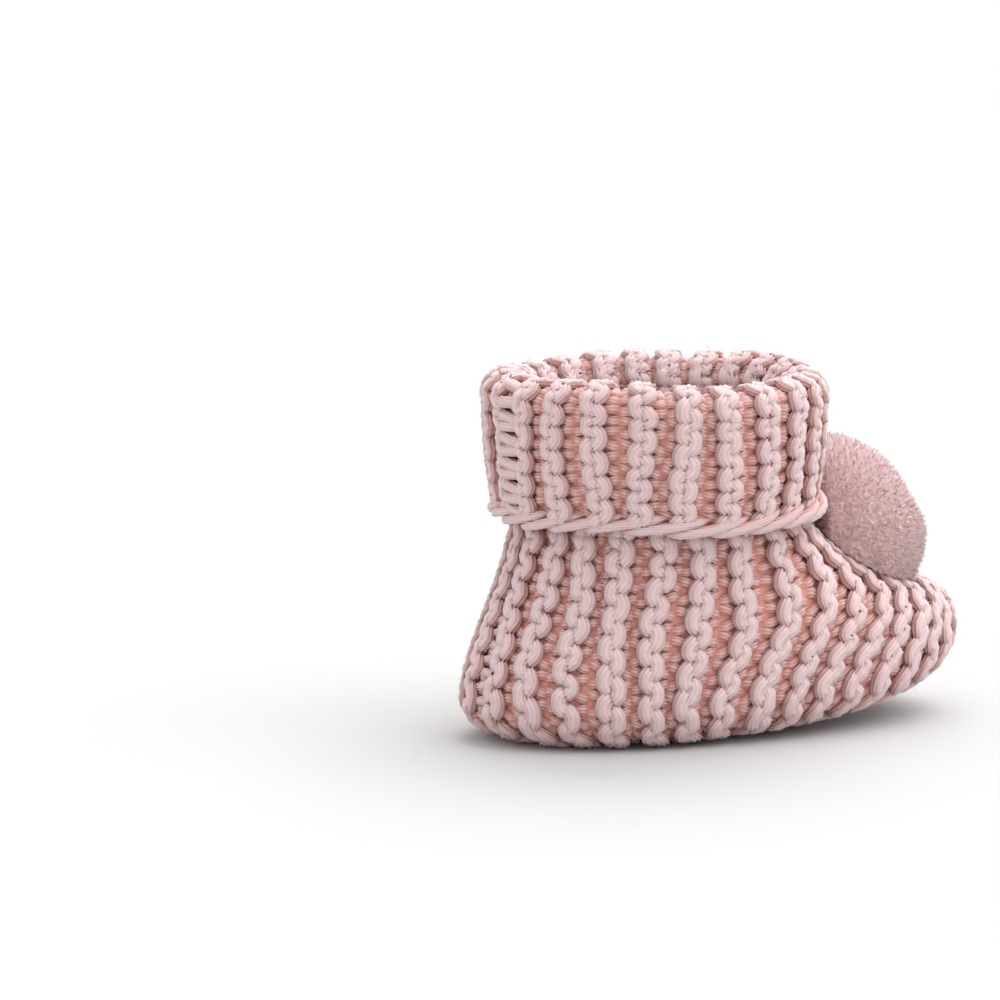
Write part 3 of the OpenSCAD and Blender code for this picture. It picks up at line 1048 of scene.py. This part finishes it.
def yarn_material(name, top, deep):
    """Soft plied yarn: its own colour on the bumps and redder, darker painted shade in the crevices, with
    fine lengthwise fibres.
    """
    material, nodes, links, shader = new_material(name, YARN_SURFACE)
    streaks = nodes.new("ShaderNodeTexNoise")
    set_inputs(streaks, STREAKS)
    links.new(attribute_node(nodes, "fibre").outputs["Vector"], streaks.inputs["Vector"])
    shifted = math_node(nodes, "SUBTRACT", STREAK_SHARE / 2)
    links.new(attribute_node(nodes, "tone").outputs["Fac"], shifted.inputs[0])
    spread = math_node(nodes, "MULTIPLY_ADD", STREAK_SHARE)
    links.new(streaks.outputs["Fac"], spread.inputs[0])
    links.new(shifted.outputs["Value"], spread.inputs[2])
    ramp = nodes.new("ShaderNodeValToRGB")
    colours = ramp.color_ramp.elements
    colours[0].color = (*deep, 1)
    colours[1].color = (*top, 1)
    colours[1].position = TOP_AT
    colours.new(MIDDLE_AT).color = (*[mix(d, t, MIDDLE_SHARE) for d, t in zip(deep, top)], 1)
    links.new(spread.outputs["Value"], ramp.inputs["Fac"])
    links.new(ramp.outputs["Color"], shader.inputs["Base Color"])
    relief = nodes.new("ShaderNodeBump")
    set_inputs(relief, RELIEF)
    links.new(streaks.outputs["Fac"], relief.inputs["Height"])
    links.new(relief.outputs["Normal"], shader.inputs["Normal"])
    return material


knit_yarn = yarn_material("knit_yarn", KNIT_TOP, KNIT_SHADED)
edge_yarn = yarn_material("edge_yarn", EDGE_TOP, KNIT_SHADED)
pile_material = yarn_material("pile", PILE_TOP, PILE_SHADED)


# ---- pieces of knitting and thread


def finish_piece(parts, name, material, body, slot, *nodes):
    piece = parts.make(name, material)
    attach(piece, body)
    if nodes:
        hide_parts(*nodes)
    return piece


# Each zone of the strip as knitted, before it was sewn up: ridges, their pitch when flat, the length
# of its rows, the share of that rectangle that is cloth, how it is held and what it hangs from
FOOT_ROWS = FOOT_ENDS[:, 1] - FOOT_ENDS[:, 0]
FOOT_SHARE = FOOT_ROWS.mean() / FOOT_ROWS.max()
ZONES = {
    "foot": (FOOT_RIDGES, FOOT_ROWS.max(), FOOT_SHARE, "gathered", []),
    "ankle": (CUFF_RIDGES, LEG_PLACES[ANKLE_TOP_STITCH], 1.0, "folded", ["ground_foot"]),
    "cuff": (CUFF_RIDGES, LEG_RUN - LEG_PLACES[ANKLE_TOP_STITCH], 1.0, "folded", ["ground_ankle"]),
}


def declare_cloth(zone, stitches):
    ridges, length, share, held, rests_on = ZONES[zone]


def body_of(zone):
    return "cuff" if zone == "cuff" else "root"


def make_knitting():
    stitches = {zone: [] for zone in ZONES}
    for section, parts in knit_pieces().items():
        zone = section.split("_")[0]
        nodes = ["knit_" + zone] if section.endswith("_0") else []
        piece = finish_piece(parts, "stitches_" + section, knit_yarn, body_of(zone), "knit", *nodes)
        stitches[zone].append(piece)
    for zone, parts in shade_backing_sheets().items():
        backing = finish_piece(parts, "ground_" + zone, knit_yarn, body_of(zone), "knit")
        declare_cloth(zone, stitches[zone])


def make_seams():
    lines = {
        "heel": strip_line(0.0, *HEEL_SEAM_SPAN),
        "cuff": strip_line(CUFF_SEAM_U, *(LEG_RUN + end for end in CUFF_SEAM_SPAN)),
        "sole": sole_line(),
        "instep": instep_line(),
    }
    for zone, (centre, normal) in lines.items():
        seam = cross_bars(centre, normal, *BAR_SIZES[zone])
        name = zone + "_seam"
        finish_piece(seam, name, knit_yarn, body_of(zone), "seam_yarn", name + "_yarn")


make_knitting()
finish_piece(chain_edge(), "chain_edge", edge_yarn, "cuff", "edge_yarn", "cuff_chain_edge")
make_seams()
finish_piece(sole_gather(), "sole_gather", knit_yarn, "root", "seam_yarn", "sole_gather_thread")
finish_piece(ring(TOE_GATHER, THREAD_D), "toe_gather", knit_yarn, "root", "seam_yarn", "toe_gather_thread")
finish_piece(binding(), "binding", edge_yarn, "pompom", "tie_yarn", "pompom_binding")
finish_piece(tie(), "tie", edge_yarn, "tie", "tie_yarn", "pompom_tie")
finish_piece(knot(), "tie_knot_yarn", edge_yarn, "root", "tie_yarn", "tie_knot")


# ---- pom-pom

FIBRES = 33000
FIBRE_SIDES = 3
FIBRE_D = 0.25
# The shading of a fibre follows the pile's surface by this much, as in dense plush
FIBRE_SMOOTHED = 0.86
CORE_SHARE = 0.945
CORE_RINGS = 200
CORE_SIDES = 320
# The pile presses this far into the cuff's stitches, and its squashed side is this sharply flat
CUFF_PRESS = 1.0
SQUASH_SHARPNESS = 12.0
# It stands up a little higher than a ball and is a little flattened at the front of its top
PILE_RISE = 0.9
PILE_RISE_POWER = 4
PILE_FLATTENED = 1.4
PILE_FLAT_SIDE = np.array([0.59, -0.39, 0.71])
PILE_FLAT_FROM = 0.7
# Slow swells and small clumps: their strength, how many waves make them up, and how fine they are
PILE_WAVES = [(0.0168, 14, 3.0), (0.0224, 60, 9.0)]
WAVE_SEED = 5
# Only low directions are tried against the toe, on a patch this many ridges past it and this long
TOE_SIDE_Z = 0.15
TOE_PATCH_RIDGES = 4
TOE_PATCH_REACH = 40
# The pile's body leaves this gap over the toe, and more round it for its sway; the fibres fill it
TOE_GAP = 0.25
SWAY_ROOM = 0.26
# The pile's body is rough by about this many millimetres. Its low tone is painted shade under the fibres,
# painted paler where it stands up and darker in its dips
GRAIN = 0.16
CORE_SHADED_TONE = 0.45
CORE_TONE_SPREAD = 0.16
CORE_STREAKS = 9
POLE_GAP = 0.001
# How fibres' directions, leans and lengths are scattered, and how deep they are rooted, as a share
FIBRE_SCATTER = 0.008
FIBRE_LEAN = 0.3
FIBRE_LENGTH_SPREAD = 0.3
FIBRE_SUNK = 0.02
# How thin a fibre's tip is, and how dark its root is painted, as painted shade deep in the pile, against
# the other end
FIBRE_TIP = 0.35
FIBRE_ROOT_SHADE = 0.4
FIBRE_TONES = (0.7, 1.0)
FIBRE_STREAKS = 0.7


def toe_tree():
    """Top of the toe's stitches, to keep the pile off them."""
    first = SIDE_RIDGES - TOE_PATCH_RIDGES
    u = np.arange(first, FOOT_RIDGES - first + U_STEP / 2, U_STEP)
    l = np.arange(-TOE_PATCH_REACH, L_STEP / 2, L_STEP)
    grid_u, grid_l = np.meshgrid(u, l, indexing="ij")
    points, normal, _ = strip_sample(grid_u, grid_l)
    top = (points + normal * BUMP_H).reshape(-1, 3)
    return BVHTree.FromPolygons(top.tolist(), grid_quads(len(u), len(l)).tolist())


def even_directions(count):
    k = np.arange(count) + 0.5
    z = 1 - 2 * k / count
    a = k * math.pi * (3 - math.sqrt(5))
    r = np.sqrt(1 - z * z)
    return xyz(r * np.cos(a), r * np.sin(a), z)


def soft_least(a, b):
    """The smaller of two distances, rounded off where they are nearly the same."""
    return (a**-SQUASH_SHARPNESS + b**-SQUASH_SHARPNESS) ** (-1 / SQUASH_SHARPNESS)


def cuff_distance(directions):
    """How far it is from the pile's middle to the cuff, whose wall is a round of the cuff's size."""
    away = PILE_CENTRE[0] - ANKLE_X
    wall = CUFF_R - CUFF_PRESS
    flat = np.maximum(directions[:, 0] ** 2 + directions[:, 1] ** 2, 1e-6)
    half_b = away * directions[:, 0]
    under_root = half_b**2 - flat * (away**2 - wall**2)
    meets = (under_root > 0) & (half_b < 0)
    near = (-half_b - np.sqrt(np.maximum(under_root, 0))) / flat
    return np.where(meets, near, 10 * PILE_R)


def pile_wave(directions):
    """Slow swells and small clumps over the pile, as a share of its reach."""
    wave_rng = np.random.default_rng(WAVE_SEED)
    swell = np.zeros(len(directions))
    for strength, count, scale in PILE_WAVES:
        axes = unit(wave_rng.normal(0, 1, (count, 3))) * scale
        phase = wave_rng.uniform(0, TURN, count)
        swell += strength * np.sin(directions @ axes.T + phase).sum(1) / math.sqrt(count)
    return swell


def pile_reach(directions, tree, room):
    """How far the pile goes each way: a ball, squashed by the cuff behind and the toe below.

    The gap over the toe grows with the distance from the tie at the slope given as room.
    """
    free = PILE_R + PILE_RISE * np.maximum(0, directions[:, 2]) ** PILE_RISE_POWER
    flat_side = smooth((directions @ PILE_FLAT_SIDE - PILE_FLAT_FROM) / (1 - PILE_FLAT_FROM))
    reach = soft_least(free - PILE_FLATTENED * flat_side, cuff_distance(directions))
    centre = Vector(PILE_CENTRE)
    for k in np.nonzero(directions[:, 2] < TOE_SIDE_Z)[0]:
        hit = tree.ray_cast(centre, Vector(directions[k]), PILE_R)
        if hit[3] is not None:
            from_tie = hit[3] * math.hypot(directions[k, 0], directions[k, 1])
            reach[k] = min(reach[k], hit[3] - TOE_GAP - room * from_tie)
    return reach * (1 + pile_wave(directions))


def pompom_core(tree):
    parts = MeshParts()
    rings, sides = CORE_RINGS, CORE_SIDES
    polar = np.linspace(POLE_GAP, math.pi - POLE_GAP, rings)[:, None]
    a = np.linspace(0, TURN, sides, endpoint=False)
    directions = xyz(np.sin(polar) * np.cos(a), np.sin(polar) * np.sin(a), np.cos(polar) + 0 * a)
    flat = directions.reshape(-1, 3)
    reach = pile_reach(flat, tree, SWAY_ROOM) * CORE_SHARE
    grain = rng.normal(0, 1, len(flat)) * np.sqrt(1 - np.clip(flat[:, 2] ** 2, 0, 1))
    points = PILE_CENTRE + flat * (reach + GRAIN * grain)[:, None]
    tone = np.clip(CORE_SHADED_TONE + CORE_TONE_SPREAD * grain, 0, 1)
    parts.add(points, ring_quads(rings, sides), tone, flat * CORE_STREAKS)
    return parts


def add_fibres(parts, roots, tips, width, tone):
    """Fine tapered hairs from roots to tips; gives back the directions that light them."""
    around = ring_directions(FIBRE_SIDES, tips - roots)
    low = roots[:, None] + around * width
    high = tips[:, None] + around * width * FIBRE_TIP
    vertices = np.concatenate([low, high], 1).reshape(-1, 3)
    tones = np.repeat(tone[:, None], 2 * FIBRE_SIDES, 1)
    # Painted shade: the roots are darker
    tones[:, :FIBRE_SIDES] *= FIBRE_ROOT_SHADE
    parts.add(vertices, hair_quads(len(roots), 2, FIBRE_SIDES), tones.ravel(), vertices * FIBRE_STREAKS)
    outward = unit(vertices - PILE_CENTRE)
    thick = np.concatenate([around, around], 1).reshape(-1, 3)
    return unit(mix(thick, outward, FIBRE_SMOOTHED))


def pompom_fibres(tree):
    parts = MeshParts()
    directions = unit(even_directions(FIBRES) + rng.normal(0, FIBRE_SCATTER, (FIBRES, 3)))
    body = pile_reach(directions, tree, SWAY_ROOM)
    reach = pile_reach(directions, tree, 0.0)
    lean = unit(directions + rng.normal(0, FIBRE_LEAN, directions.shape))
    roots = PILE_CENTRE + directions * (body * (CORE_SHARE - FIBRE_SUNK))[:, None]
    length = reach - body * (CORE_SHARE - FIBRE_SUNK / 2) + rng.normal(0, FIBRE_LENGTH_SPREAD, FIBRES)
    tips = roots + lean * length[:, None]
    normals = add_fibres(parts, roots, tips, FIBRE_D / 2, rng.uniform(*FIBRE_TONES, FIBRES))
    return parts, normals


def make_pompom():
    tree = toe_tree()
    pile_top = [PILE_CENTRE[0] * MM, 0, pile_high[2] * MM]
    core = finish_piece(pompom_core(tree), "pompom_core", pile_material, "pompom", "pile", "pompom_pile")
    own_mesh(core)
    plush_parts, plush_normals = pompom_fibres(tree)
    plush = finish_piece(plush_parts, "pompom_plush", pile_material, "pompom", "pile")
    plush.data.normals_split_custom_set_from_vertices(plush_normals.tolist())
    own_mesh(plush)


make_pompom()


# ---- camera, light and floor

CAMERA_AZIMUTH = math.radians(-33)
CAMERA_ELEVATION = math.radians(8.3)
CAMERA_DISTANCE = 1.0
CAMERA_TARGET = Vector(((ANKLE_X - 0.7) * MM, 0, 0.033))
# The camera aims this far beside and above its target, in metres
AIM_LEFT = 0.0277
AIM_UP = 0.0081
LENS = 200
# The suns: which way they are, their strength and the spread of their light in degrees
SUNS = {"key": ((0.6, -0.5, 1.1), 1.2, 60), "back": ((0.6, 0.55, 1.0), 1.8, 50)}
SKY_STRENGTH = 1.03
FLOOR_HALF = 6.0


def make_camera():
    level = math.cos(CAMERA_ELEVATION)
    sin_a, cos_a = math.sin(CAMERA_AZIMUTH), math.cos(CAMERA_AZIMUTH)
    back = Vector((sin_a * level, -cos_a * level, math.sin(CAMERA_ELEVATION)))
    right = Vector((cos_a, sin_a, 0))
    up = back.cross(right)
    camera = link_object("camera", bpy.data.cameras.new("camera"))
    camera.data.lens = LENS
    camera.location = CAMERA_TARGET + back * CAMERA_DISTANCE
    aim = CAMERA_TARGET - right * AIM_LEFT + up * AIM_UP
    camera.rotation_mode = "QUATERNION"
    camera.rotation_quaternion = (aim - camera.location).to_track_quat("-Z", "Y")
    bpy.context.scene.camera = camera


def add_sun(name, towards, strength, spread_degrees):
    """A soft, even light that shines the same on the whole floor; towards points at the light."""
    light = bpy.data.lights.new(name, "SUN")
    light.energy = strength
    light.angle = math.radians(spread_degrees)
    sun = link_object(name, light)
    sun.location = towards
    sun.rotation_mode = "QUATERNION"
    sun.rotation_quaternion = Vector(towards).to_track_quat("Z", "Y")


def make_floor():
    mesh = bpy.data.meshes.new("floor")
    corners = [(x * FLOOR_HALF, y * FLOOR_HALF, 0) for x, y in ((-1, -1), (1, -1), (1, 1), (-1, 1))]
    mesh.from_pydata(corners, [], [(0, 1, 2, 3)])
    mesh.materials.append(new_material("floor", FLOOR_SURFACE)[0])
    floor = link_object("floor", mesh)


def make_sky():
    world = bpy.data.worlds.new("world")
    world.use_nodes = True
    set_inputs(world.node_tree.nodes["Background"], {"Color": (1, 1, 1, 1), "Strength": SKY_STRENGTH})
    bpy.context.scene.world = world


make_camera()
make_floor()
for name, sun in SUNS.items():
    add_sun(name, *sun)
make_sky()
bpy.context.scene.view_settings.view_transform = "Standard"
